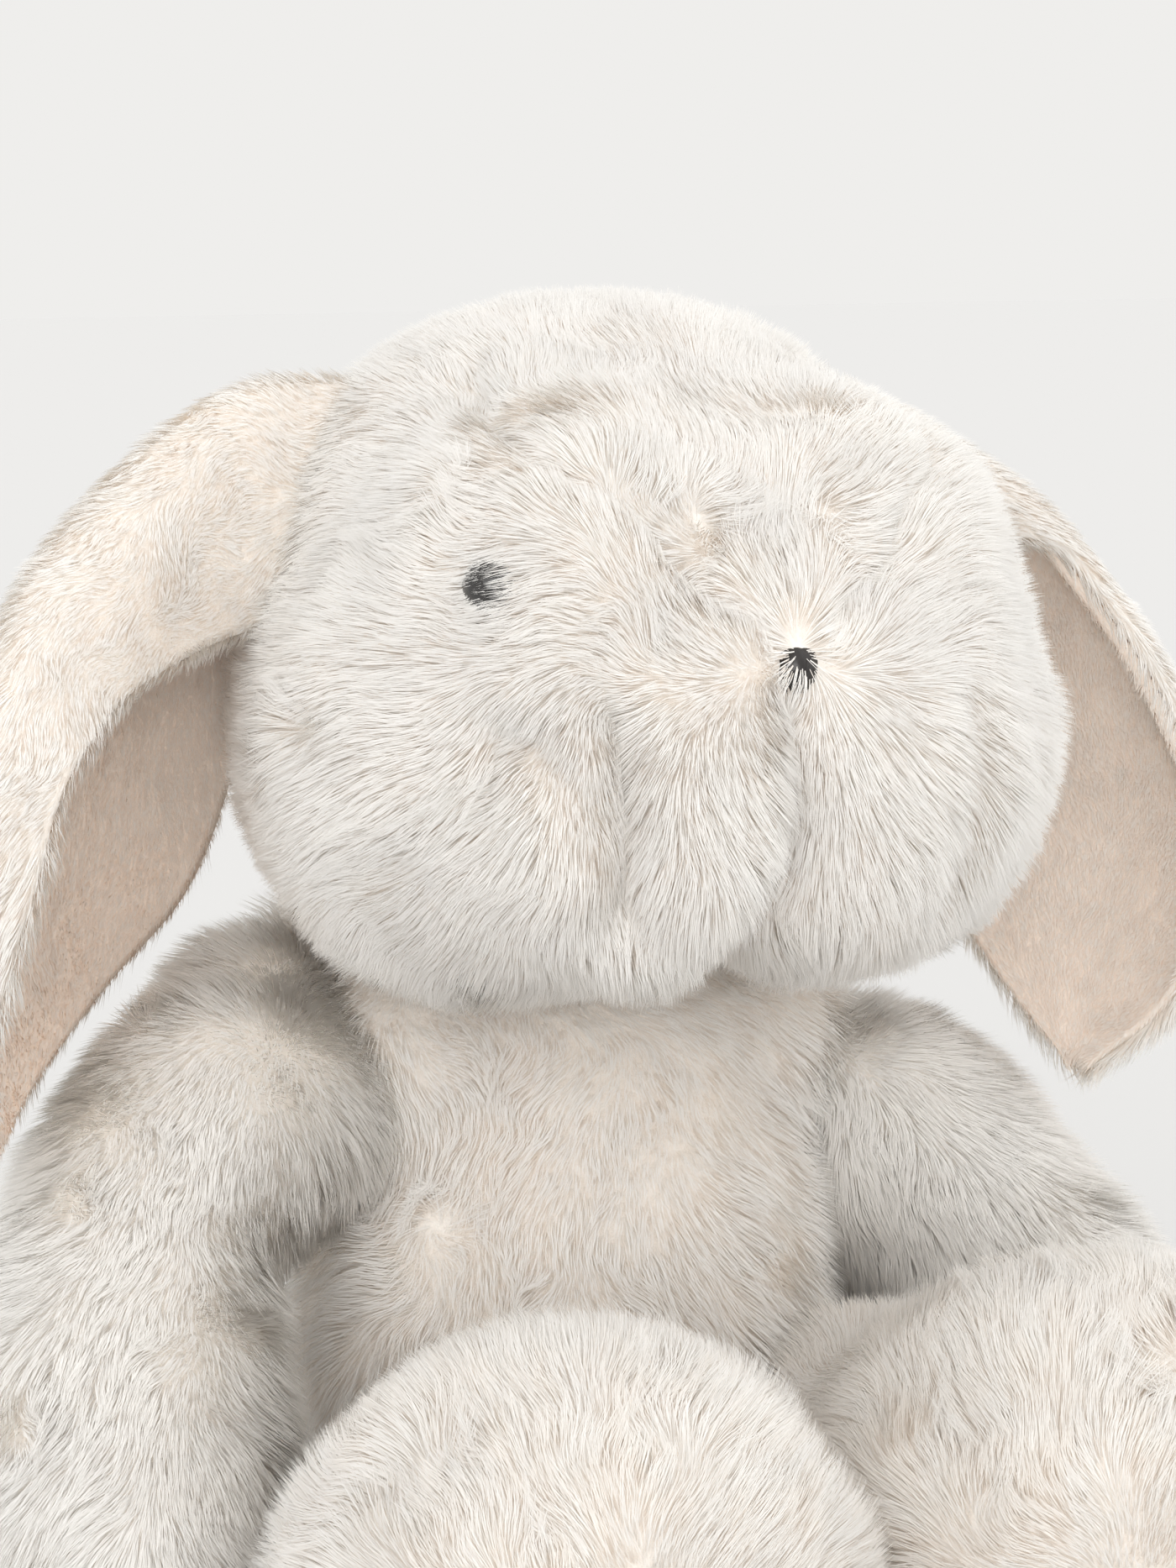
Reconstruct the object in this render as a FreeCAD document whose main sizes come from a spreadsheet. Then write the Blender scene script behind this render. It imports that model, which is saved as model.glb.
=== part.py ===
import FreeCAD, Part
import math
import os

# Seated lop-eared rabbit, millimetres. +Z is up, the rabbit faces -Y and its left side is +X.
# The origin is the middle of the flat seat under the torso.

V = FreeCAD.Vector
doc = FreeCAD.newDocument("rabbit")
sheet = doc.addObject("Spreadsheet::Sheet", "dims")

DIMENSIONS = {
    # how far a surface lies inside the outer one: none, inner face of the fur fabric, filling
    "flush": 0, "skin": 5, "filling": 5.4,
    # gap round the balls that the head and limbs turn on
    "ball_gap": 1.2,
    # head, around its middle: lumps are spheres, each with its radius and its place
    "head_y": -25, "head_z": 198,
    "skull_r": 59, "skull_back": 14, "skull_up": 3,
    "cheek_r": 42, "cheek_out": 31, "cheek_back": -9, "cheek_up": -20,
    "nape_r": 43, "nape_out": 26, "nape_back": 16, "nape_up": -14,
    "brow_r": 40, "brow_out": 21, "brow_back": -20, "brow_up": 9,
    "jowl_r": 36, "jowl_out": 14, "jowl_back": -37, "jowl_up": -23,
    "bridge_r": 27, "bridge_back": -45, "bridge_up": -5,
    "gusset_tip": 3, "gusset_crown": 33, "gusset_front": 115, "gusset_down": 2,
    # face fixings: a bead on a shank, held by a washer behind the fabric
    "eye_r": 5, "eye_x": 48, "eye_front": 43, "eye_up": 17,
    "nose_r": 4.5, "nose_front": 70, "nose_up": 0,
    "shank_r": 1.6, "shank_long": 12, "washer_r": 6.5, "washer_thick": 1.5, "washer_depth": 7,
    "hole_play": 0.1, "fixing_room": 0.5,
    # neck ball between torso and head
    "neck_r": 23, "neck_y": -3, "neck_z": 141,
    # torso: spheres from a broad seat to a slimmer chest
    "seat_r": 51, "seat_z": 38, "belly_r": 47, "belly_z": 64, "chest_r": 43, "chest_z": 88,
    # bag of beads in the seat: the lens between two spheres
    "lens_r": 38, "lens_apart": 26, "bag_y": 12, "bag_z": 23, "bag_cloth": 1, "bag_room": 0.4,
    "beads_room": 0.3,
    # arms and legs
    "arm_root_r": 23, "arm_r": 27, "paw_r": 23, "hip_r": 27, "thigh_r": 28,
    "shoulder_hollow_r": 26.5, "hip_hollow_r": 32.5,
    "heel_r": 45, "toe_r": 44, "foot_x": 49, "foot_y": -106, "toe_rise": 12,
    # tail
    "tail_r": 22, "tail_y": 60, "tail_z": 36,
    # ears: outer fur panel and the short-pile lining under it
    "ear_fur": 5, "ear_lining": 2.5, "ear_gap": 0.8, "ear_bulge": 0.16,
}

for row, (alias, value) in enumerate(DIMENSIONS.items(), start=1):
    sheet.set(f"A{row}", alias)
    sheet.set(f"B{row}", str(value))
    sheet.setAlias(f"B{row}", alias)
doc.recompute()

SIDES = (("left", 1), ("right", -1))
FAR = 200                     # beyond every surface, for the blocks that split a form into panels
nodes = {}


def size(alias):
    return float(sheet.get(alias))


def bind(obj, **expressions):
    for prop, expression in expressions.items():
        obj.setExpression(prop, expression)
    return obj


def place(obj, x, y, z):
    for axis, expression in zip("xyz", (x, y, z)):
        obj.setExpression(f"Placement.Base.{axis}", expression)
    return obj


def ball(name, radius):
    """A sphere round the origin, to be placed by its user."""
    return bind(doc.addObject("Part::Sphere", name), Radius=radius)


def sphere(name, radius, x, y, z):
    return place(ball(name, radius), x, y, z)


def fuse(name, *shapes):
    result = doc.addObject("Part::MultiFuse", name)
    result.Shapes = list(shapes)
    return result


def common(name, *shapes):
    result = doc.addObject("Part::MultiCommon", name)
    result.Shapes = list(shapes)
    return result


def cut(name, base, *tools):
    """The base with each tool cut away in turn."""
    result = base
    for i, tool in enumerate(tools):
        step = doc.addObject("Part::Cut", f"{name}_{i}")
        step.Base, step.Tool = result, tool
        result = step
    return result


def block(name, low, high):
    box = doc.addObject("Part::Box", name)
    box.Length, box.Width, box.Height = (high[i] - low[i] for i in range(3))
    box.Placement.Base = V(*low)
    return box


def rod(name, radius, length, start, direction):
    """A round rod from a start point along a direction."""
    solid = doc.addObject("Part::Cylinder", name)
    bind(solid, Radius=radius, Height=length)
    solid.Placement = FreeCAD.Placement(start, FreeCAD.Rotation(V(0, 0, 1), direction))
    return solid


def node(name, obj):
    obj.Label = name
    nodes[name] = obj


# ---------------------------------------------------------------- head


def head_form(tag, inset):
    """Skull, nape, brows, cheeks, jowls and nose bridge as one rounded form, inset from its surface."""
    def lump(part, name, x="0"):
        return sphere(f"{name}_{tag}", f"dims.{part}_r - dims.{inset}", x,
                      f"dims.head_y + dims.{part}_back", f"dims.head_z + dims.{part}_up")

    pairs = [lump(part, f"{part}_{side}", f"{sign} * dims.{part}_out")
             for part in ("nape", "brow", "cheek", "jowl") for side, sign in SIDES]
    return fuse(f"head_form_{tag}", lump("skull", "skull"), lump("bridge", "bridge"), *pairs)


def neck_hollow(tag):
    return sphere(f"neck_hollow_{tag}", "dims.neck_r + dims.ball_gap", "0", "dims.neck_y", "dims.neck_z")


def face_fixing(name, bead, seat, outward):
    """Bead and shank, its washer, and the room that both need inside the head."""
    bead.Placement = FreeCAD.Placement(seat, FreeCAD.Rotation())
    shank = rod(f"{name}_shank", "dims.shank_r", "dims.shank_long", seat, -outward)
    node(name, fuse(f"{name}_solid", bead, shank))
    behind = seat - outward * size("washer_depth")
    disc = rod(f"{name}_disc", "dims.washer_r", "dims.washer_thick", behind, -outward)
    hole = rod(f"{name}_hole", "dims.shank_r + dims.hole_play", "3 * dims.washer_thick",
               behind + outward * size("washer_thick"), -outward)
    node(f"{name}_washer", cut(f"{name}_washer_solid", disc, hole))
    return rod(f"{name}_room", "dims.washer_r + dims.fixing_room", "2 * dims.shank_long + dims.fixing_room",
               seat + outward * size("shank_long"), -outward)


SKULL = V(0, size("head_y"), size("head_z"))
rooms = []
for side, sign in SIDES:
    aim = V(sign * size("eye_x"), -size("eye_front"), size("eye_up"))
    rooms.append(face_fixing(f"eye_{side}", ball(f"eye_bead_{side}", "dims.eye_r"),
                             SKULL + aim, V(aim).normalize()))
rooms.append(face_fixing("nose", ball("nose_bead", "dims.nose_r"),
                         SKULL + V(0, -size("nose_front"), size("nose_up")), V(0, -1, 0)))

shell = cut("head_shell", head_form("outer", "flush"), head_form("inner", "skin"), neck_hollow("shell"), *rooms)
taper = doc.addObject("Part::Wedge", "gusset_taper")
bind(taper, Xmin="-dims.gusset_tip", Xmax="dims.gusset_tip",
     X2min="-dims.gusset_crown", X2max="dims.gusset_crown",
     Ymin="-dims.gusset_front", Ymax="dims.head_y",
     Zmin="dims.head_z + dims.gusset_down", Zmax="dims.head_z + 2 * dims.skull_r",
     Z2min="dims.head_z + dims.gusset_down", Z2max="dims.head_z + 2 * dims.skull_r")
crown_low = (-size("gusset_crown"), size("head_y"), size("head_z") + size("gusset_down"))
crown_high = (size("gusset_crown"), 2 * size("skull_r"), size("head_z") + 2 * size("skull_r"))
gusset_zone = fuse("gusset_zone", taper, block("gusset_crown_zone", crown_low, crown_high))
node("head_gusset", common("head_gusset_solid", shell, gusset_zone))
for side, sign in SIDES:
    half = block(f"head_half_{side}", (min(0, sign * FAR), -FAR, 0), (max(0, sign * FAR), FAR, 2 * FAR))
    node(f"head_side_{side}", common(f"head_side_{side}_solid", shell, cut(f"head_zone_{side}", half, gusset_zone)))
node("head_stuffing", cut("head_stuffing_solid", head_form("filling", "filling"),
                          neck_hollow("filling"), *rooms))

# ---------------------------------------------------------------- neck

node("neck_stuffing", sphere("neck_ball", "dims.neck_r", "0", "dims.neck_y", "dims.neck_z"))

# ---------------------------------------------------------------- arms and legs

DOME = (18, 40, 65)


def ring(name, centre, direction, radius):
    """One round section of a limb, square to the limb's line."""
    circle = doc.addObject("Part::Circle", name)
    bind(circle, Radius=radius)
    circle.Placement = FreeCAD.Placement(centre, FreeCAD.Rotation(V(0, 0, 1), direction))
    return circle


def limb(name, line, radii, inset):
    """A rounded tube along a line of points, closed by a dome at each end."""
    rings = []
    for i, (centre, alias) in enumerate(zip(line, radii)):
        ahead = (line[min(i + 1, len(line) - 1)] - line[max(i - 1, 0)]).normalize()
        radius = f"(dims.{alias} - dims.{inset})"
        reach = size(alias) - size(inset)

        def dome(sign):
            return [ring(f"{name}_dome_{i}_{angle}", centre + ahead * (sign * reach * math.cos(math.radians(angle))),
                         ahead, f"{radius} * sin({angle})") for angle in DOME]

        if i == 0:
            rings += dome(-1)
        rings.append(ring(f"{name}_ring_{i}", centre, ahead, radius))
        if i == len(line) - 1:
            rings += dome(1)[::-1]
    loft = doc.addObject("Part::Loft", name)
    loft.Sections = rings
    loft.Solid, loft.Ruled, loft.Closed = True, False, False
    return loft


ARM_LINES = {
    "left": [V(46, 0, 106), V(63, -1, 100), V(80, -5, 82), V(91, -16, 60), V(95, -28, 43)],
    "right": [V(-46, 0, 106), V(-71, -3, 115), V(-89, -11, 97), V(-96, -24, 68), V(-96, -36, 43)],
}
ARM_RADII = ("arm_root_r", "arm_r", "arm_r", "paw_r", "paw_r")
LEG_LINE = [V(35, -35, 40), V(40, -60, 42), V(46, -88, 46)]
LEG_RADII = ("hip_r", "thigh_r", "thigh_r")


def leg(name, sign, inset):
    """Thigh tube with a broad rounded foot at its end, toes up."""
    line = [V(sign * point.x, point.y, point.z) for point in LEG_LINE]
    heel = sphere(f"{name}_heel", f"dims.heel_r - dims.{inset}", f"{sign} * dims.foot_x", "dims.foot_y",
                  "dims.heel_r")
    toe = sphere(f"{name}_toe", f"dims.toe_r - dims.{inset}", f"{sign} * dims.foot_x", "dims.foot_y",
                 "dims.heel_r + dims.toe_rise")
    return fuse(name, limb(f"{name}_thigh", line, LEG_RADII, inset), heel, toe)


for side, sign in SIDES:
    for part, form in (("arm", lambda tag, inset: limb(tag, ARM_LINES[side], ARM_RADII, inset)),
                       ("leg", lambda tag, inset: leg(tag, sign, inset))):
        tag = f"{part}_{side}"
        node(f"{part}_fur_{side}", cut(f"{tag}_shell", form(f"{tag}_outer", "flush"), form(f"{tag}_inner", "skin")))
        node(f"{part}_stuffing_{side}", form(f"{tag}_filling", "filling"))

# ---------------------------------------------------------------- torso and tail


def torso_form(tag, inset):
    """Seat, belly and chest as one pear, cut flat where it sits."""
    lumps = [sphere(f"{part}_{tag}", f"dims.{part}_r - dims.{inset}", "0", "0", f"dims.{part}_z")
             for part in ("seat", "belly", "chest")]
    under = place(block(f"under_{tag}", (-FAR, -FAR, -FAR), (FAR, FAR, 0)), f"-{FAR}", f"-{FAR}", f"dims.{inset} - {FAR}")
    return cut(f"torso_form_{tag}", fuse(f"torso_lumps_{tag}", *lumps), under)


def limb_hollows(tag):
    """Round hollows in the torso for the neck, shoulder and hip balls."""
    hollows = [neck_hollow(f"torso_{tag}")]
    for side, sign in SIDES:
        shoulder = ARM_LINES[side][0]
        hip = LEG_LINE[0]
        for joint, centre in (("shoulder", shoulder), ("hip", V(sign * hip.x, hip.y, hip.z))):
            hollows.append(sphere(f"{joint}_hollow_{side}_{tag}", f"dims.{joint}_hollow_r",
                                  *[f"{value}" for value in centre]))
    return hollows


torso_shell = cut("torso_shell", torso_form("outer", "flush"), torso_form("inner", "skin"), *limb_hollows("shell"))
PANELS = {"torso_front": ((-FAR, -FAR, 0), (FAR, 0, FAR)),
          "torso_back_left": ((0, 0, 0), (FAR, FAR, FAR)),
          "torso_back_right": ((-FAR, 0, 0), (0, FAR, FAR))}
for name, (low, high) in PANELS.items():
    node(name, common(f"{name}_solid", torso_shell, block(f"{name}_zone", low, high)))


def bag(tag, inset):
    """A flat round cushion: what two spheres, one above the other, have in common."""
    halves = [sphere(f"bag_{tag}_{name}", f"dims.lens_r {inset}", "0", "dims.bag_y",
                     f"dims.bag_z {way} dims.lens_apart")
              for name, way in (("upper", "-"), ("lower", "+"))]
    return common(f"bag_{tag}", *halves)


node("torso_stuffing", cut("torso_stuffing_solid", torso_form("filling", "filling"),
                           *limb_hollows("filling"), bag("room", "+ dims.bag_room")))
node("bead_bag", cut("bead_bag_solid", bag("outer", ""), bag("inner", "- dims.bag_cloth")))
node("beads", bag("beads", "- dims.bag_cloth - dims.beads_room"))


def tail_ball(tag, inset):
    return sphere(f"tail_{tag}", f"dims.tail_r - dims.{inset}", "0", "dims.tail_y", "dims.tail_z")


node("tail_fur", cut("tail_shell", tail_ball("outer", "flush"), tail_ball("inner", "skin"),
                     torso_form("tail", "flush")))
node("tail_stuffing", cut("tail_filling", tail_ball("filling", "filling"), torso_form("tail_filling", "flush")))

# ---------------------------------------------------------------- ears

# Lines from the root to the tip of each ear, from the middle of the skull: the ridge along the
# top of the fold, the front edge and the rear edge. x is outward.
EAR_LINES = {
    "right": {"ridge": [(46, 33, 51), (62, 31, 47), (82, 28, 40), (106, 22, 20), (123, 16, -10),
                        (132, 12, -39), (130, 8, -66), (122, 7, -81)],
              "front": [(67, 22, 8), (78, 15, -2), (90, 8, -12), (106, 0, -25), (116, -3, -40),
                        (124, -2, -55), (125, 1, -71), (121, 6, -81)],
              "rear": [(65, 38, 8), (75, 43, -2), (82, 45, -14), (87, 46, -28), (94, 43, -44),
                       (106, 36, -57), (116, 23, -71), (120, 10, -81)]},
    "left": {"ridge": [(46, 33, 50), (62, 31, 44), (80, 28, 34), (98, 23, 14), (110, 17, -16),
                       (117, 13, -45), (115, 9, -72), (107, 8, -86)],
             "front": [(67, 22, 8), (78, 10, -4), (90, 1, -16), (98, -5, -30), (104, -7, -46),
                       (109, -4, -62), (110, 0, -78), (106, 7, -86)],
             "rear": [(65, 38, 8), (74, 44, -2), (80, 47, -14), (83, 48, -28), (87, 45, -46),
                      (95, 38, -62), (102, 25, -78), (105, 11, -86)]},
}


ARCH_POINTS = 7


def arch(rear, ridge, front, low, high):
    """Closed band between two curves that run from the rear edge over the ridge to the front edge."""
    middle = (rear + front) * 0.5
    outward = (ridge - middle).normalize()
    across = front - rear
    bulge = outward * (size("ear_bulge") * (ridge - middle).Length)
    spine = [rear, (rear + ridge) * 0.5 - across * 0.06 + bulge, ridge,
             (ridge + front) * 0.5 + across * 0.06 + bulge, front]
    plane = across.cross(outward).normalize()

    def offset(distance):
        points = []
        for i, point in enumerate(spine):
            along = spine[min(i + 1, 4)] - spine[max(i - 1, 0)]
            points.append(point + plane.cross(along).normalize() * distance)
        curve = Part.BSplineCurve()
        curve.interpolate(points)
        return curve.discretize(Number=ARCH_POINTS)

    inner, outer = offset(low), offset(high)
    return Part.makePolygon(inner + outer[::-1] + inner[:1])


def ear_layer(name, lines, sign, low, high):
    """One layer of an ear, between two distances from its middle surface."""
    wires = []
    for rear, ridge, front in zip(lines["rear"], lines["ridge"], lines["front"]):
        points = [SKULL + V(sign * x, y, z) for x, y, z in (rear, ridge, front)]
        if sign < 0:
            wires.append(arch(*points, -low, -high))
        else:
            wires.append(arch(*points, low, high))
    solid = Part.makeLoft(wires, True, False)
    solid.fix(1e-3, 1e-3, 1e-2)
    layer = doc.addObject("Part::Feature", name)
    layer.Shape = solid
    return layer


for side, sign in SIDES:
    lines = EAR_LINES[side]
    node(f"ear_fur_{side}", ear_layer(f"ear_{side}_outer", lines, sign, 0, size("ear_fur")))
    under = -size("ear_gap")
    node(f"ear_lining_{side}", ear_layer(f"ear_{side}_inner", lines, sign, under - size("ear_lining"), under))

# ---------------------------------------------------------------- checks and files

doc.recompute()
for obj in doc.Objects:
    if {"Invalid", "Error"} & set(obj.State):
        raise RuntimeError(f"{obj.Name} did not build: {obj.getStatusString()}")
os.makedirs("parts", exist_ok=True)
for name, obj in nodes.items():
    shape = obj.Shape
    if shape.isNull() or not shape.isValid() or shape.Volume <= 0:
        raise RuntimeError(f"{name} is not a valid solid")
    shape.exportStep(f"parts/{name}.step")
    box = shape.BoundBox
    print(f"{name:20s} solids {len(shape.Solids)} volume {shape.Volume / 1000:8.2f} cm3 "
          f"x {box.XMin:7.1f} {box.XMax:7.1f} y {box.YMin:7.1f} {box.YMax:7.1f} z {box.ZMin:7.1f} {box.ZMax:7.1f}")
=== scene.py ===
import math

import bpy
import numpy as np
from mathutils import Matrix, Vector


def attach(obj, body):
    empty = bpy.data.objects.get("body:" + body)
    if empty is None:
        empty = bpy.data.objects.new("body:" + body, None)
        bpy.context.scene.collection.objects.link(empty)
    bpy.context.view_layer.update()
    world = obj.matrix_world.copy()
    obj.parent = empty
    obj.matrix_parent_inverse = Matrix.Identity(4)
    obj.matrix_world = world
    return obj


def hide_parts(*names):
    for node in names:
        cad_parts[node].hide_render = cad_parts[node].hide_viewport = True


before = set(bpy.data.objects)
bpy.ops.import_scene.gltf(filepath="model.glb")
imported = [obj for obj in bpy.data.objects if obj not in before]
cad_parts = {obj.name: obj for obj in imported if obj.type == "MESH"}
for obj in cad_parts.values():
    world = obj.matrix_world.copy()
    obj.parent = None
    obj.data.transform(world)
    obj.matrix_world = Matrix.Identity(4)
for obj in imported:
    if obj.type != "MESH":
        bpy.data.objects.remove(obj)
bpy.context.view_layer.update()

MM = 0.001
RNG = np.random.default_rng(11)

# ---------------------------------------------------------------- camera, light and floor

HEAD = np.array([0.0, -25.0, 198.0])      # middle of the skull, mm
VIEW_AZIMUTH, VIEW_ELEVATION = -25.0, 7.0
VIEW_DISTANCE = 720.0
FRAME_WIDTH_AT_HEAD = 212.0               # mm across the frame at the head
LOOK_ASIDE, LOOK_DOWN = -9.1, -25.5       # the frame's middle, from the middle of the skull


def view_axes(azimuth, elevation):
    """Unit vectors towards the camera, to its right and up."""
    a, e = math.radians(azimuth), math.radians(elevation)
    back = np.array([math.sin(a) * math.cos(e), -math.cos(a) * math.cos(e), math.sin(e)])
    right = np.array([math.cos(a), math.sin(a), 0.0])
    return back, right, np.cross(back, right)


def look(obj, eye, target):
    """Place a camera or light at eye, looking at target, both in mm."""
    eye, target = Vector(eye) * MM, Vector(target) * MM
    obj.location = eye
    obj.rotation_euler = (target - eye).to_track_quat("-Z", "Y").to_euler()


def add_camera():
    back, right, up = view_axes(VIEW_AZIMUTH, VIEW_ELEVATION)
    data = bpy.data.cameras.new("camera")
    data.sensor_fit = "HORIZONTAL"
    data.lens = data.sensor_width * VIEW_DISTANCE / FRAME_WIDTH_AT_HEAD
    data.clip_start, data.clip_end = 0.01, 50.0
    camera = bpy.data.objects.new("camera", data)
    bpy.context.scene.collection.objects.link(camera)
    look(camera, HEAD + back * VIEW_DISTANCE, HEAD + right * LOOK_ASIDE + up * LOOK_DOWN)
    bpy.context.scene.camera = camera


BACKGROUND = (0.863, 0.855, 0.838)
SOFTBOX = (1.0, 0.99, 0.975)
DIFFUSE_BOUNCES, ALL_BOUNCES = 12, 14     # pale fur is lit mostly by light that has bounced inside it


def soft_sun(name, eye, strength, spread_degrees, colour):
    """Even light from the direction of eye, as wide as a large softbox."""
    data = bpy.data.lights.new(name, "SUN")
    data.energy, data.angle, data.color = strength, math.radians(spread_degrees), colour
    light = bpy.data.objects.new(name, data)
    bpy.context.scene.collection.objects.link(light)
    look(light, eye, (0, 0, 0))


def add_studio():
    scene = bpy.context.scene
    scene.view_settings.view_transform = "Standard"
    world = bpy.data.worlds.new("studio")
    scene.world = world
    world.use_nodes = True
    sky = world.node_tree.nodes["Background"]
    sky.inputs["Color"].default_value = (*BACKGROUND, 1)
    sky.inputs["Strength"].default_value = 1.0
    soft_sun("key", (-250, -400, 1000), 0.2, 70, (1.0, 0.99, 0.98))
    soft_sun("front", (-450, -950, 140), 0.75, 45, SOFTBOX)
    soft_sun("side", (900, -250, 450), 0.55, 90, SOFTBOX)
    soft_sun("left", (-600, -850, 480), 0.5, 50, SOFTBOX)
    scene.cycles.diffuse_bounces, scene.cycles.max_bounces = DIFFUSE_BOUNCES, ALL_BOUNCES


def plain(name, colour, roughness=0.6, sheen=0.0, specular=0.3, coat=0.0):
    material = bpy.data.materials.new(name)
    material.use_nodes = True
    shader = material.node_tree.nodes["Principled BSDF"]
    shader.inputs["Base Color"].default_value = (*colour, 1)
    shader.inputs["Roughness"].default_value = roughness
    shader.inputs["Specular IOR Level"].default_value = specular
    shader.inputs["Sheen Weight"].default_value = sheen
    shader.inputs["Coat Weight"].default_value = coat
    return material


FLOOR_HALF, FLOOR_DROP = 6.0, 0.0005      # metres; the drop keeps the floor clear of the lowest strands
FLOOR_PAINT = (0.772, 0.772, 0.772)       # as bright under these lights as the background behind it


def add_floor():
    mesh = bpy.data.meshes.new("floor")
    corners = [(x * FLOOR_HALF, y * FLOOR_HALF, 0) for x, y in ((-1, -1), (1, -1), (1, 1), (-1, 1))]
    mesh.from_pydata(corners, [], [(0, 1, 2, 3)])
    floor = bpy.data.objects.new("floor", mesh)
    bpy.context.scene.collection.objects.link(floor)
    floor.location.z = -FLOOR_DROP
    floor.data.materials.append(plain("floor_paint", FLOOR_PAINT, 1.0, specular=0.0))


add_camera()
add_studio()
add_floor()

# ---------------------------------------------------------------- materials


def cloth(name, dark, light, grain_mm, bump_mm, sheen=0.3):
    """Knitted backing or short pile: mottled colour with a fine bump of the same grain."""
    material = plain(name, light, 0.9, sheen, 0.1)
    nodes, links = material.node_tree.nodes, material.node_tree.links
    shader = nodes["Principled BSDF"]
    place = nodes.new("ShaderNodeTexCoord")
    noise = nodes.new("ShaderNodeTexNoise")
    noise.inputs["Scale"].default_value = 1 / (grain_mm * MM)
    noise.inputs["Detail"].default_value = 3
    links.new(place.outputs["Object"], noise.inputs["Vector"])
    ramp = nodes.new("ShaderNodeValToRGB")
    ramp.color_ramp.elements[0].position, ramp.color_ramp.elements[0].color = 0.3, (*dark, 1)
    ramp.color_ramp.elements[1].position, ramp.color_ramp.elements[1].color = 0.7, (*light, 1)
    links.new(noise.outputs["Fac"], ramp.inputs["Fac"])
    links.new(ramp.outputs["Color"], shader.inputs["Base Color"])
    bump = nodes.new("ShaderNodeBump")
    bump.inputs["Distance"].default_value = bump_mm * MM
    bump.inputs["Strength"].default_value = 0.6
    links.new(noise.outputs["Fac"], bump.inputs["Height"])
    links.new(bump.outputs["Normal"], shader.inputs["Normal"])
    return material


SKIN = cloth("fur_backing", (0.965, 0.91, 0.85), (0.98, 0.945, 0.90), 1.2, 0.5)
LINING = cloth("ear_velour", (0.975, 0.86, 0.76), (0.985, 0.905, 0.83), 0.8, 0.25)
PILE = [
    plain("pile_root", (0.95, 0.89, 0.825), 0.8, specular=0.1),
    plain("pile_warm", (0.965, 0.933, 0.890), 0.7, specular=0.15),
    plain("pile_light", (0.975, 0.955, 0.924), 0.6, specular=0.2),
    plain("pile_tip", (0.985, 0.970, 0.944), 0.5, specular=0.25),
]
PAINTED_LIGHT_ARM_PILE = [PILE[2], PILE[3], PILE[3], PILE[3]]      # the arms: only the light and tip colours, painted light that makes them paler than the rest of the fur
SHADED_FOOT_PILE = [PILE[0], PILE[1], PILE[1], PILE[2]]      # the feet: the palette one step darker, painted shade that dims them
VELOUR_PILE = [
    plain("velour_root", (0.975, 0.87, 0.78), 0.8, specular=0.1),
    plain("velour_warm", (0.98, 0.89, 0.81), 0.8, specular=0.1),
    plain("velour_light", (0.985, 0.91, 0.84), 0.7, specular=0.1),
    plain("velour_tip", (0.985, 0.93, 0.87), 0.7, specular=0.1),
]

# ---------------------------------------------------------------- mesh helpers


def mesh_object(name, points_mm, faces, material):
    """A smooth mesh of one material, from points in mm."""
    mesh = bpy.data.meshes.new(name)
    mesh.from_pydata((points_mm * MM).tolist(), [], faces)
    mesh.validate()
    mesh.materials.append(material)
    mesh.polygons.foreach_set("use_smooth", np.full(len(mesh.polygons), True))
    obj = bpy.data.objects.new(name, mesh)
    bpy.context.scene.collection.objects.link(obj)
    return obj


def unit(vectors):
    return vectors / np.maximum(np.linalg.norm(vectors, axis=-1, keepdims=True), 1e-9)


def smoothstep(x, low, high):
    t = np.clip((x - low) / (high - low), 0, 1)
    return t * t * (3 - 2 * t)


def sphere_grid(rows, columns):
    """Unit directions and quads of a closed globe with its poles along Z."""
    tilt = np.linspace(0, math.pi, rows + 1)[1:-1]
    turn = np.linspace(0, 2 * math.pi, columns, endpoint=False)
    t, u = np.meshgrid(tilt, turn, indexing="ij")
    ring = np.stack([np.sin(t) * np.cos(u), np.sin(t) * np.sin(u), np.cos(t)], -1).reshape(-1, 3)
    points = np.concatenate([ring, [[0, 0, 1]], [[0, 0, -1]]])
    top, bottom = len(ring), len(ring) + 1
    faces = []
    for j in range(columns):
        k = (j + 1) % columns
        faces.append((top, j, k))
        for row in range(0, (rows - 2) * columns, columns):
            faces.append((row + j, row + columns + j, row + columns + k, row + k))
        last = (rows - 2) * columns
        faces.append((last + j, bottom, last + k))
    return points, faces


def smooth_union(points, spheres, blend):
    """Signed distance to spheres that melt together over a blend length."""
    distances = (np.linalg.norm(points - np.array(centre), axis=-1) - radius for centre, radius in spheres)
    total = sum(np.exp(-distance / blend) for distance in distances)
    return -blend * np.log(total)


def star_surface(centre, directions, spheres, blend, reach=140.0):
    """Distance from the centre, along each direction, to the melted spheres' surface."""
    near, far = np.zeros(len(directions)), np.full(len(directions), reach)
    for _ in range(26):
        middle = (near + far) / 2
        outside = smooth_union(centre + directions * middle[:, None], spheres, blend) > 0
        far = np.where(outside, middle, far)
        near = np.where(outside, near, middle)
    return (near + far) / 2


def hash_random(cells, salt):
    """Repeatable numbers from 0 to 1 for whole-number cells."""
    k = cells.astype(np.int64)
    h = (k[..., 0] * 73856093) ^ (k[..., 1] * 19349663) ^ (k[..., 2] * 83492791) ^ (salt * 2654435761)
    h = (h ^ (h >> 13)) * 1274126177
    return ((h ^ (h >> 16)) & 0xFFFFFF) / float(0x1000000)


def noise3(points, scale, salt):
    """Smooth value noise from -1 to 1 at a grain size in mm."""
    p = points / scale
    base = np.floor(p)
    f = p - base
    f = f * f * (3 - 2 * f)
    total = np.zeros(len(points))
    for corner in np.ndindex(2, 2, 2):
        c = np.array(corner)
        weight = np.prod(np.where(c == 1, f, 1 - f), axis=-1)
        total += weight * hash_random(base + c, salt)
    return total * 2 - 1


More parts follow.
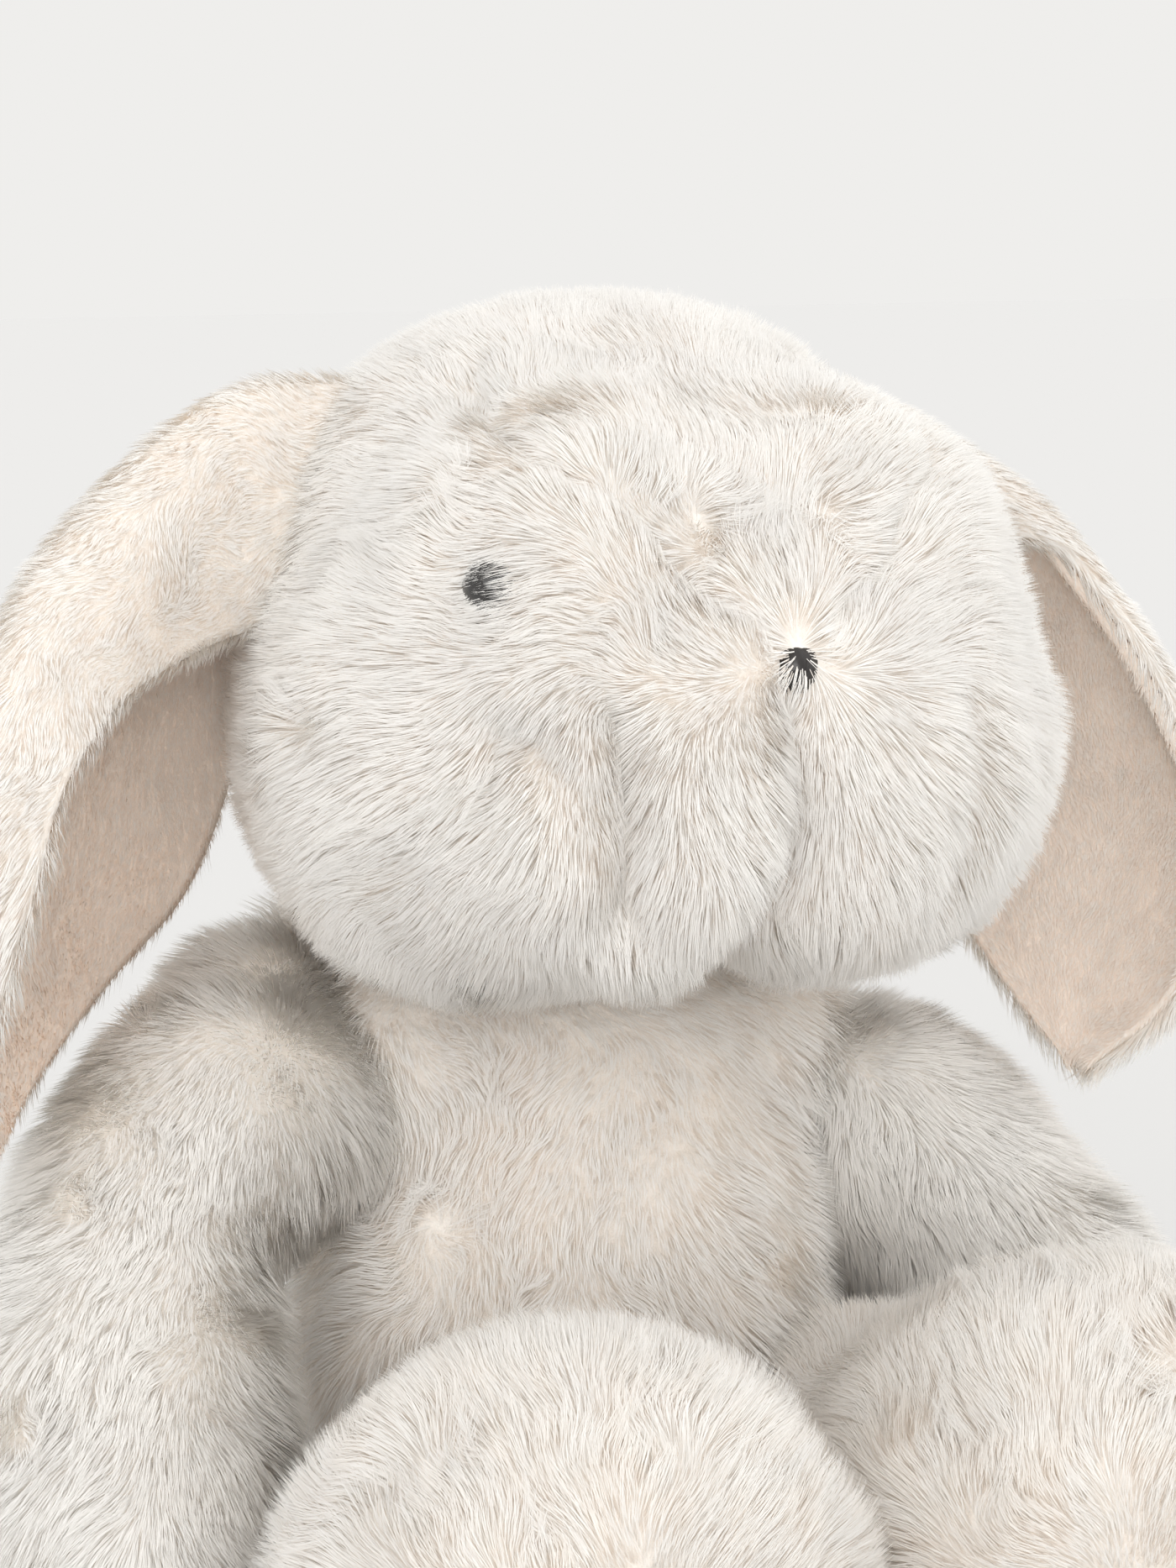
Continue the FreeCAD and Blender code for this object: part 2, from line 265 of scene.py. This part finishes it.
def noise_vector(points, scale, salt):
    return np.stack([noise3(points, scale, salt + i) for i in range(3)], -1)


def clump_centres(points, size, salt):
    """Nearest of the scattered tuft centres, one to each cell of the given size."""
    base = np.floor(points / size)
    best = np.full(len(points), 1e9)
    centre = np.zeros_like(points)
    for offset in np.ndindex(3, 3, 3):
        cell = base + np.array(offset) - 1
        spot = (cell + np.stack([hash_random(cell, salt + i) for i in range(3)], -1)) * size
        distance = np.sum((spot - points) ** 2, axis=-1)
        closer = distance < best
        best = np.where(closer, distance, best)
        centre[closer] = spot[closer]
    return centre


# ---------------------------------------------------------------- fur


def triangles_of(obj):
    mesh = obj.data
    mesh.calc_loop_triangles()
    corners = np.empty(len(mesh.loop_triangles) * 3, dtype=np.int32)
    mesh.loop_triangles.foreach_get("vertices", corners)
    points = np.empty(len(mesh.vertices) * 3)
    mesh.vertices.foreach_get("co", points)
    normals = np.empty(len(mesh.vertices) * 3)
    mesh.vertex_normals.foreach_get("vector", normals)
    return corners.reshape(-1, 3), points.reshape(-1, 3) / MM, normals.reshape(-1, 3)


def scatter(obj, count, weight):
    """Random roots on a mesh: positions and smooth normals, denser where weight is higher."""
    corners, points, normals = triangles_of(obj)
    a, b, c = (points[corners[:, i]] for i in range(3))
    area = np.linalg.norm(np.cross(b - a, c - a), axis=-1) / 2
    chance = area * weight((a + b + c) / 3)
    pick = RNG.choice(len(corners), size=count, p=chance / chance.sum())
    u, v = RNG.random(count), RNG.random(count)
    fold = u + v > 1
    u[fold], v[fold] = 1 - u[fold], 1 - v[fold]
    shares = np.stack([1 - u - v, u, v], -1)
    roots = sum(points[corners[pick, i]] * shares[:, i:i + 1] for i in range(3))
    outward = unit(sum(normals[corners[pick, i]] * shares[:, i:i + 1] for i in range(3)))
    return roots, outward


def flatten(vectors, normals):
    """The part of each vector that lies in the surface, as a unit vector."""
    return unit(vectors - normals * np.sum(vectors * normals, axis=-1, keepdims=True))


SEGMENTS = 2                               # pieces of a strand: a quad, then a pointed triangle
TAPER = (0.9, 1.0)                         # width of the quad's two ends
OWN_SHADING = 0.15                         # how far a strand is lit by its own slope, not the skin's
FRIZZ, SAG = 0.06, 0.12                    # how far a strand's tip strays, and falls
TUFT_GATHER = 0.22                         # how far tips draw together into tufts
WIDER_TUFTS = 3.2                          # size of the broad tufts against the small ones


def strand_object(name, strands, palette, shades, shading):
    """One mesh of many strands, each given as five points: a quad of two rows, then the tip."""
    count, per = strands.shape[:2]
    points = strands.reshape(-1, 3)
    base = (np.arange(count) * per)[:, None]
    loops = (base + np.array([0, 1, 3, 2, 2, 3, 4])).reshape(-1).astype(np.int32)
    sizes = np.tile([4, 3], count)
    starts = np.concatenate([[0], np.cumsum(sizes)[:-1]]).astype(np.int32)
    mesh = bpy.data.meshes.new(name)
    mesh.vertices.add(len(points))
    mesh.vertices.foreach_set("co", (points * MM).reshape(-1))
    mesh.loops.add(len(loops))
    mesh.loops.foreach_set("vertex_index", loops)
    mesh.polygons.add(len(starts))
    mesh.polygons.foreach_set("loop_start", starts)
    for material in palette:
        mesh.materials.append(material)
    mesh.polygons.foreach_set("material_index", shades.astype(np.int32).reshape(-1))
    mesh.update(calc_edges=True)
    mesh.polygons.foreach_set("use_smooth", np.full(len(mesh.polygons), True))
    mesh.normals_split_custom_set_from_vertices(np.repeat(shading, per, axis=0))
    obj = bpy.data.objects.new(name, mesh)
    bpy.context.scene.collection.objects.link(obj)
    return obj


def grow_fur(name, skin, body, count, comb, length, lean=0.62, width=0.17, tuft=2.6, weight=None,
             palette=PILE, stretch=None, tousle=1.0):
    """Tapered strands rooted in a skin. comb and length are functions of the root points."""
    weight = weight or (lambda points: np.ones(len(points)))
    roots, normals = scatter(skin, count, weight)
    stray = noise_vector(roots, 12.0, 3) + 0.45 * noise_vector(roots, 5.0, 7)
    along = flatten(comb(roots, normals) + tousle * stray, normals)
    reach = length(roots) * (0.8 + 0.35 * RNG.random(count))
    small, large = clump_centres(roots, tuft, 21), clump_centres(roots, tuft * WIDER_TUFTS, 31)
    swing = np.stack([hash_random(np.round(small * 7), s) for s in (1, 2, 3)], -1) - 0.5
    broad = np.stack([hash_random(np.round(large * 7), s) for s in (4, 5, 6)], -1) - 0.5
    lie = lean + 0.1 * swing[:, :1] + 0.2 * broad[:, :1] + 0.15 * noise3(roots, 9.0, 17)[:, None]
    lie = np.clip(lie, 0.15, 0.97)         # 0 stands straight up, 1 lies flat
    at_root = lie * 0.75
    start = unit(normals * np.sqrt(1 - at_root ** 2) + along * at_root + 0.1 * swing)
    tip_run = flatten(along + 0.35 * swing + 0.4 * broad, normals)
    finish = unit(normals * np.sqrt(1 - lie ** 2) * 0.6 + tip_run * lie
                  + FRIZZ * RNG.normal(size=(count, 3)) - np.array([0, 0, SAG]))
    steps = np.linspace(0, 1, SEGMENTS + 1)
    spine = [roots - normals * 0.4]
    for s0, s1 in zip(steps[:-1], steps[1:]):
        middle = (s0 + s1) / 2
        heading = unit(start * (1 - middle) + finish * middle)
        spine.append(spine[-1] + heading * (reach * (s1 - s0))[:, None])
    gather = TUFT_GATHER * steps ** 1.4
    pull = small - roots
    pull -= normals * np.sum(pull * normals, axis=-1, keepdims=True)
    wide_pull = large - roots
    wide_pull -= normals * np.sum(wide_pull * normals, axis=-1, keepdims=True)
    spine = [point + pull * g + wide_pull * g * 0.22 for point, g in zip(spine, gather)]
    if stretch is not None:
        spine = [stretch(point) for point in spine]
    flat = unit(np.cross(spine[-1] - spine[0], normals) + 1e-6)
    flat = unit(flat + 0.5 * RNG.normal(size=(count, 1)) * normals)
    half = width * 0.5 * (0.7 + 0.6 * RNG.random(count))[:, None]
    rows = []
    for point, taper in zip(spine, TAPER):
        rows += [point - flat * half * taper, point + flat * half * taper]
    rows.append(spine[-1])
    tone = (hash_random(np.round(small * 7), 9) + 0.35 * RNG.random(count)) > 0.72
    side = unit(np.cross(flat, unit(spine[-1] - spine[0])))
    side *= np.where(np.sum(side * normals, axis=-1, keepdims=True) < 0, -1, 1)
    shading = unit(normals + side * OWN_SHADING)
    obj = strand_object(name, np.stack(rows, 1), palette, np.stack([tone, 2 + tone], 1), shading)
    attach(obj, body)
    return obj


# ---------------------------------------------------------------- surface features


def directions(turn_rise):
    """Unit vectors for (turn to the rabbit's left, rise) pairs in degrees; (0, 0) is straight ahead."""
    turn, rise = np.radians(np.array(turn_rise, float)).T
    return np.stack([np.sin(turn) * np.cos(rise), -np.cos(turn) * np.cos(rise), np.sin(rise)], -1)


def dense(line, count=60):
    """Evenly spread points along a polyline."""
    line = np.array(line, float)
    lengths = np.concatenate([[0], np.cumsum(np.linalg.norm(np.diff(line, axis=0), axis=-1))])
    at = np.linspace(0, lengths[-1], count)
    return np.stack([np.interp(at, lengths, line[:, i]) for i in range(line.shape[1])], -1)


def mirror(turn_rise):
    """The same line on the other side of the face."""
    return [(-turn, rise) for turn, rise in turn_rise]


def seam_distance(unit_directions, radius, seam):
    """Distance in mm over the surface from each point to a seam given by its directions."""
    marks = unit(dense(directions(seam)))
    nearest = np.full(len(unit_directions), -1.0)
    for mark in marks:
        nearest = np.maximum(nearest, unit_directions @ mark)
    return np.arccos(np.clip(nearest, -1, 1)) * radius


GUSSET = [(90, 58), (79, 52), (55, 42), (41, 34), (34, 29), (27, 27), (18, 18), (14, 14), (9, 10),
          (4, 6)]
MOUTH = [(-2, -2), (-2, -15), (-3, -23), (-5, -30), (-8, -38), (-8, -52)]
PAD_GROOVE = [(27, -5), (26, -15), (27, -28)]
CHEEK_CREASE = [(39, -6), (31, -15)]
CHEEK_PART = [(44, -4), (44, -12)]
FACE_GROOVES = [                           # a line on the face, the groove's depth and its width, mm
    (GUSSET, 2.5, 3.0), (mirror(GUSSET), 2.5, 3.0), (MOUTH, 6.5, 6.0), (PAD_GROOVE, 5.0, 5.5),
    (mirror(PAD_GROOVE), 8.0, 5.5), (mirror(CHEEK_CREASE), 3.5, 4.5), (mirror(CHEEK_PART), 3.0, 3.5),
]
HEAD_LUMPS = [                             # stuffing lumps as centre and radius, from the skull's middle
    ((0, 14, 3), 59), ((13, 24, 13), 46), ((-13, 24, 13), 46),
    ((26, 16, -14), 43), ((-26, 16, -14), 43), ((21, -20, 9), 40), ((-21, -20, 9), 40),
    ((33, -9, -19), 42), ((-33, -9, -19), 42), ((17, -38, -19), 35), ((-17, -38, -19), 35),
    ((0, -45, -5), 27),
]
EYE_SPOT, NOSE_SPOT = (48, -43, 17), (0, -70, 0)
HEAD_INSET = 4.0                           # the skin lies this far under the ends of the pile
EYE_SOCKET = 2.5                           # how far an eye's thread pulls the skin in


def head_skin():
    """The head's casing, with the face's grooves and the eye sockets pressed into it."""
    axes, faces = sphere_grid(110, 220)
    lumps = [(centre, radius - HEAD_INSET) for centre, radius in HEAD_LUMPS]
    radius = star_surface(np.zeros(3), axes, lumps, 3.5)
    for seam, depth, width in FACE_GROOVES:
        radius = radius - depth * np.exp(-(seam_distance(axes, radius, seam) / width) ** 2)
    for side in (-1, 1):
        spot = unit(np.array([side * EYE_SPOT[0], EYE_SPOT[1], EYE_SPOT[2]], float))
        away = np.arccos(np.clip(axes @ spot, -1, 1)) * radius
        radius = radius - EYE_SOCKET * np.exp(-(away / 9.0) ** 2)
    points = HEAD + axes * radius[:, None]
    points += unit(points - HEAD) * noise3(points, 13.0, 51)[:, None] * 0.8
    return mesh_object("head_skin", points, faces, SKIN)


def lump_skin(name, centre, spheres, inset, blend=5.0, floor=None, rows=64, ripple=1.2):
    """A closed casing over stuffing lumps, drawn in by the pile's inset and slightly uneven."""
    axes, faces = sphere_grid(rows, rows * 2)
    centre = np.array(centre, float)
    radius = star_surface(centre, axes, [(spot, r - inset) for spot, r in spheres], blend)
    points = centre + axes * radius[:, None]
    points += axes * noise3(points, 15.0, 61)[:, None] * ripple
    if floor is not None:
        points[:, 2] = np.maximum(points[:, 2], floor)
    return mesh_object(name, points, faces, SKIN)


def along_limb(line, radii, count=12):
    """Stuffing lumps along a limb's line."""
    dots = dense([(*point, radius) for point, radius in zip(line, radii)], count)
    return [(tuple(dot[:3]), dot[3]) for dot in dots]


ARM_LINES = {"left": [(46, 2, 104), (61, 0, 97), (77, -5, 79), (89, -16, 58), (93, -28, 43)],
             "right": [(-46, 4, 108), (-71, -3, 115), (-92, -13, 97), (-99, -26, 67), (-100, -37, 42)]}
ARM_RADII = {"left": [14, 26, 24.5, 28, 28], "right": [14, 25.5, 23, 28, 27]}
SHOULDER_LUMP = ((-60, 12, 123), 22)        # the back of the right shoulder, between the ear and the head
SIDES = [("left", 1), ("right", -1)]
REST_HEIGHT = 1.5                          # the skin's flat underside above the table
FLATTENED_AT = 0.6                         # the lowest a strand lies above the table

# ---------------------------------------------------------------- head

head = head_skin()
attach(head, "head")
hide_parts("head_gusset", "head_side_left", "head_side_right", "head_stuffing", "neck_stuffing")

WHORL = HEAD + np.array([0.0, -68.0, 5.0])   # the fur runs outward from just above the nose


def head_comb(points, normals):
    """Fur runs away from the nose, and falls on the muzzle."""
    flow = unit(points - WHORL)
    muzzle = smoothstep(-(points[:, 1] - HEAD[1]), 25, 55) * smoothstep(HEAD[2] + 6 - points[:, 2], 0, 14)
    muzzle = muzzle[:, None]
    return flow * (1 - 0.5 * muzzle) + np.array([0, 0, -1.0]) * (0.15 + 1.2 * muzzle)


def head_length(points):
    """Long on the muzzle's pads, short on the crown, trimmed in the seams and round the near eye."""
    q = unit(points - HEAD)
    pads = smoothstep(-q[:, 1], 0.55, 0.85) * smoothstep(-q[:, 2], -0.05, 0.2)
    crown = smoothstep(q[:, 2], 0.35, 0.8)
    seam = np.zeros(len(points))
    for line, _, width in FACE_GROOVES:
        seam = np.maximum(seam, np.exp(-(seam_distance(q, 75.0, line) / (width * 0.9)) ** 2))
    near_eye = HEAD + np.array(EYE_SPOT) * [-1, 1, 1]        # the far one stays buried
    eyes = np.exp(-(np.linalg.norm(points - near_eye, axis=-1) / 8.0) ** 2)
    nose = np.exp(-(np.linalg.norm(points - (HEAD + np.array(NOSE_SPOT)), axis=-1) / 6.0) ** 2)
    trimmed = (1 - 0.45 * seam) * (1 - 0.2 * eyes) * (1 - 0.1 * nose)
    return (8.5 + 1.5 * pads - 2.0 * crown) * trimmed


grow_fur("head_pile", head, "head", 280000, head_comb, head_length, lean=0.64)


def bead(name, centre, radius, material, outward):
    """Glossy domed bead with a shallow rim, facing outward."""
    axes, faces = sphere_grid(24, 48)
    points = axes * radius
    points[:, 2] = np.where(points[:, 2] < 0, points[:, 2] * 0.45, points[:, 2] * 0.92)
    turn = Vector((0, 0, 1)).rotation_difference(Vector(outward)).to_matrix()
    points = points @ np.array(turn).T + centre
    obj = mesh_object(name, points, faces, material)
    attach(obj, "head")
    return obj


EYE_RADIUS, NOSE_RADIUS = 5.0, 4.5
EYE_SUNK = {"right": 2.4, "left": 5.0}     # the far eye is out of sight in the photograph
NOSE_SHIFT = [0, 8.5, 2.5]                 # the nose lies deep in the pile
EYE_GLOSS = plain("eye_gloss", (0.012, 0.010, 0.009), 0.08, specular=0.6, coat=0.6)
NOSE_GLOSS = plain("nose_gloss", (0.016, 0.013, 0.012), 0.22, specular=0.5, coat=0.3)
for side, sign in SIDES:
    middle = HEAD + np.array([sign * EYE_SPOT[0], EYE_SPOT[1], EYE_SPOT[2]])
    outward = unit(middle - HEAD)
    eye = bead(f"eye_bead_{side}", middle - outward * EYE_SUNK[side], EYE_RADIUS, EYE_GLOSS, outward)
    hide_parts(f"eye_{side}", f"eye_{side}_washer")
nose_out = unit(np.array(NOSE_SPOT, float))
nose = bead("nose_bead", HEAD + np.array(NOSE_SPOT) + NOSE_SHIFT, NOSE_RADIUS, NOSE_GLOSS, nose_out)
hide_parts("nose", "nose_washer")

# ---------------------------------------------------------------- torso and tail

TORSO = [((0, 0, 38), 51), ((0, 0, 64), 47), ((-13, -2, 62), 46), ((0, 0, 88), 43), ((0, 0, 118), 33),
         ((30, 6, 116), 27), ((-30, 6, 118), 27), ((-43, 20, 124), 24)]
TAIL = [((0, 60, 36), 22)]
CASING_INSET = 4.5
torso = lump_skin("torso_skin", (0, 0, 66), TORSO, CASING_INSET, floor=REST_HEIGHT)
tail = lump_skin("tail_skin", TAIL[0][0], TAIL, CASING_INSET, rows=32)
for soft in (torso, tail):
    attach(soft, "torso")
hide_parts("torso_front", "torso_back_left", "torso_back_right", "torso_stuffing",
            "bead_bag", "beads")
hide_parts("tail_fur", "tail_stuffing")


def hang(outward):
    """Fur that hangs down and lies outward by some share."""
    return lambda points, normals: np.array([0, 0, -1.0]) + outward * unit(normals * [1, 1, 0])


def run_from(root, fall):
    """Fur that runs outward from a point and also hangs down by some share."""
    return lambda points, normals: unit(points - root) - np.array([0, 0, fall])


def above_table(points):
    """Strands press flat where they would go through the table."""
    low = points[:, 2] < FLATTENED_AT
    points[low, 2] = FLATTENED_AT
    return points


def sat_on(points):
    """Pile length that shortens towards the table."""
    return 7 * smoothstep(points[:, 2], -4, 12) + 2


def under_ear(points):
    """Pile length of an arm, a little shorter at the shoulder, where the ear lies on it."""
    return 9 - 1.5 * smoothstep(points[:, 2], 108, 138)


def even(length):
    """The same pile length everywhere."""
    return lambda points: np.full(len(points), float(length))


grow_fur("torso_pile", torso, "torso", 110000, hang(0.3), sat_on, tuft=3.4, stretch=above_table)
grow_fur("tail_pile", tail, "torso", 16000, lambda p, n: n + np.array([0, 0.4, -0.6]), even(11),
         lean=0.6, tuft=3.2)

# ---------------------------------------------------------------- arms and legs

for side, sign in SIDES:
    spheres = along_limb(ARM_LINES[side], ARM_RADII[side]) + ([SHOULDER_LUMP] if sign < 0 else [])
    middle = ARM_LINES[side][2]
    seam = np.array(ARM_LINES[side][0]) + [-sign * 8, 4, 18]
    arm = lump_skin(f"arm_skin_{side}", middle, spheres, 4.0, blend=2.5)
    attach(arm, f"arm_{side}")
    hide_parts(f"arm_fur_{side}", f"arm_stuffing_{side}")
    # the arms' strands take the paler palette, painted light
    grow_fur(f"arm_pile_{side}", arm, f"arm_{side}", 105000, run_from(seam, 0.6), under_ear,
             tuft=3.4, stretch=above_table, palette=PAINTED_LIGHT_ARM_PILE)

    thigh = along_limb([(sign * 35, -35, 40), (sign * 40, -60, 42), (sign * 46, -88, 46)], [27, 28, 28], 8)
    foot = [((sign * 49, -106, 45), 45), ((sign * 42, -106, 53), 41), ((sign * 56, -106, 53), 41)]
    leg = lump_skin(f"leg_skin_{side}", (sign * 47, -95, 48), thigh + foot, CASING_INSET, floor=REST_HEIGHT)
    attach(leg, f"leg_{side}")
    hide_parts(f"leg_fur_{side}", f"leg_stuffing_{side}")
    toes = np.array([sign * 49.0, -155.0, 20.0])
    # the feet's strands take the darker palette, painted shade
    grow_fur(f"leg_pile_{side}", leg, f"leg_{side}", 110000, run_from(toes, 0.0), sat_on,
             tuft=3.6, stretch=above_table, palette=SHADED_FOOT_PILE)

# ---------------------------------------------------------------- ears

EAR_LINES = {
    "right": {"ridge": [(38, 28, 43), (62, 31, 43), (82, 28, 32), (103, 22, 12), (118, 16, -14),
                        (127, 12, -39), (127, 8, -66), (121, 7, -82)],
              "front": [(60, 20, 6), (80, 14, 1), (97, 5, -6), (108, -2, -18), (114, -5, -34),
                        (119, -4, -50), (123, 0, -67), (121, 6, -83)],
              "rear": [(55, 34, 7), (60, 42, -2), (61, 45, -14), (64, 47, -30), (73, 46, -48),
                       (91, 37, -62), (109, 22, -75), (120, 9, -84)]},
    "left": {"ridge": [(38, 28, 41), (60, 31, 38), (75, 28, 25), (91, 24, 8), (105, 22, -15),
                       (116, 24, -42), (115, 25, -72), (108, 22, -92)],
             "front": [(60, 20, 8), (77, 16, 13), (88, 9, 14), (99, 4, 2), (112, -2, -20),
                       (122, -3, -47), (121, 6, -75), (109, 20, -93)],
             "rear": [(56, 34, 7), (72, 44, -2), (78, 47, -14), (82, 48, -28), (86, 48, -46),
                      (93, 45, -64), (100, 36, -80), (107, 24, -93)]},
}
EAR_BULGE = 0.16
EAR_ROLL = {"right": 4.0, "left": 2.5}     # how far the lining rolls inward behind the front flap, mm
ROLL_AT, ROLL_WIDTH = 0.22, 0.1            # as shares of the way across, from the rear edge
EAR_ROWS, EAR_COLUMNS = 60, 36
FUR_LAYER, LINING_LAYER = (0.3, 2.6), (-2.4, -0.1)     # each cloth's two faces, from the ear's middle


def catmull(points, at):
    """Smooth curve through points at parameters from 0 to 1."""
    points = np.asarray(points, float)
    x = np.clip(at, 0, 1) * (len(points) - 1)
    i = np.minimum(x.astype(int), len(points) - 2)
    f = (x - i)[:, None]
    before, after = np.maximum(i - 1, 0), np.minimum(i + 2, len(points) - 1)
    a, b, c, d = points[before], points[i], points[i + 1], points[after]
    square, cube = (2 * a - 5 * b + 4 * c - d) * f ** 2, (3 * b - a - 3 * c + d) * f ** 3
    return 0.5 * (2 * b + (c - a) * f + square + cube)


def ear_grid(side, sign):
    """Middle surface of an ear: rows from root to tip, columns from the rear edge over the ridge."""
    at = np.linspace(0, 1, EAR_ROWS)
    rear, ridge, front = (catmull(np.array(EAR_LINES[side][edge]) * [sign, 1, 1] + HEAD, at)
                          for edge in ("rear", "ridge", "front"))
    middle = (rear + front) / 2
    bulge = EAR_BULGE * (ridge - middle)
    across = front - rear
    spine = np.stack([rear, (rear + ridge) / 2 - across * 0.06 + bulge, ridge,
                      (ridge + front) / 2 + across * 0.06 + bulge, front], 0)
    over = np.linspace(0, 1, EAR_COLUMNS)
    grid = np.stack([catmull(spine[:, k], over) for k in range(EAR_ROWS)], 0)
    inward = unit((middle - ridge) + 1e-6)[:, None]
    crosswise, lengthwise = np.exp(-((over - ROLL_AT) / ROLL_WIDTH) ** 2), np.sin(np.pi * at) ** 0.7
    roll = crosswise[None, :, None] * lengthwise[:, None, None]
    return grid + inward * roll * EAR_ROLL[side]


def grid_normals(grid):
    du = np.gradient(grid, axis=0)
    dv = np.gradient(grid, axis=1)
    return unit(np.cross(du, dv))


def ear_pieces(side, sign):
    """The fur and the lining of one ear as thin closed cloths, with the surface between them."""
    grid = ear_grid(side, sign)
    normals = grid_normals(grid)
    middle = grid[:, [0, -1]].mean(axis=1, keepdims=True)
    facing = np.sum(normals[:, EAR_COLUMNS // 2] * (grid[:, EAR_COLUMNS // 2] - middle[:, 0]), axis=-1)
    if facing.mean() < 0:
        normals = -normals
    rows, columns = grid.shape[:2]

    def layer(name, depths, material):
        low, high = depths
        outer, inner = grid + normals * high, grid + normals * low
        points = np.concatenate([outer.reshape(-1, 3), inner.reshape(-1, 3)])
        n = rows * columns
        faces = []
        for i in range(rows - 1):
            for j in range(columns - 1):
                a = i * columns + j
                b, c, d = a + 1, a + columns + 1, a + columns
                faces += [(a, b, c, d), (n + d, n + c, n + b, n + a)]
        edge = [(0, j) for j in range(columns)] + [(i, columns - 1) for i in range(1, rows)]
        edge += [(rows - 1, j) for j in range(columns - 2, -1, -1)]
        edge += [(i, 0) for i in range(rows - 2, 0, -1)]
        ids = [i * columns + j for i, j in edge]
        for a, b in zip(ids, ids[1:] + ids[:1]):
            faces.append((a, n + a, n + b, b))
        obj = mesh_object(name, points, faces, material)
        across_middle = obj.data.vertex_normals[(rows // 2) * columns + columns // 2].vector
        if np.dot(across_middle, normals[rows // 2, columns // 2]) < 0:
            obj.data.flip_normals()
        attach(obj, f"ear_{side}")
        return obj

    outer = layer(f"ear_back_{side}", FUR_LAYER, SKIN)
    inner = layer(f"ear_face_{side}", LINING_LAYER, LINING)
    return outer, inner, grid, normals


for side, sign in SIDES:
    outer, inner, grid, normals = ear_pieces(side, sign)
    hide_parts(f"ear_fur_{side}")
    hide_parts(f"ear_lining_{side}")
    flat_points, flat_normals = grid.reshape(-1, 3), normals.reshape(-1, 3)
    run = unit(np.gradient(grid, axis=0)).reshape(-1, 3)

    def nearest(points):
        """Index of the closest point of the ear's middle surface."""
        best = np.empty(len(points), dtype=int)
        for start in range(0, len(points), 4000):
            part = points[start:start + 4000]
            best[start:start + 4000] = np.argmin(
                ((part[:, None] - flat_points[None]) ** 2).sum(-1), axis=1)
        return best

    def on_face(outward):
        """Strands only on a cloth's outer face, not on the one that is sewn to the other cloth."""
        def weight(points):
            near = nearest(points)
            height = np.sum((points - flat_points[near]) * flat_normals[near], axis=-1)
            return (height * outward > 0.9) + 1e-6
        return weight

    def ear_comb(points, normals_there):
        return run[nearest(points)]

    def longer_to_tip(points):
        return 5.0 + 2 * smoothstep(HEAD[2] - points[:, 2], 0, 50)

    hair = grow_fur(f"ear_pile_{side}", outer, f"ear_{side}", 60000, ear_comb, longer_to_tip,
                    lean=0.85, tousle=0.7, tuft=2.8, weight=on_face(1))
    nap = grow_fur(f"ear_velour_{side}", inner, f"ear_{side}", 60000, ear_comb, even(2.2),
                   lean=0.85, tousle=0.4, tuft=1.4, width=0.22, weight=on_face(-1),
                   palette=VELOUR_PILE)
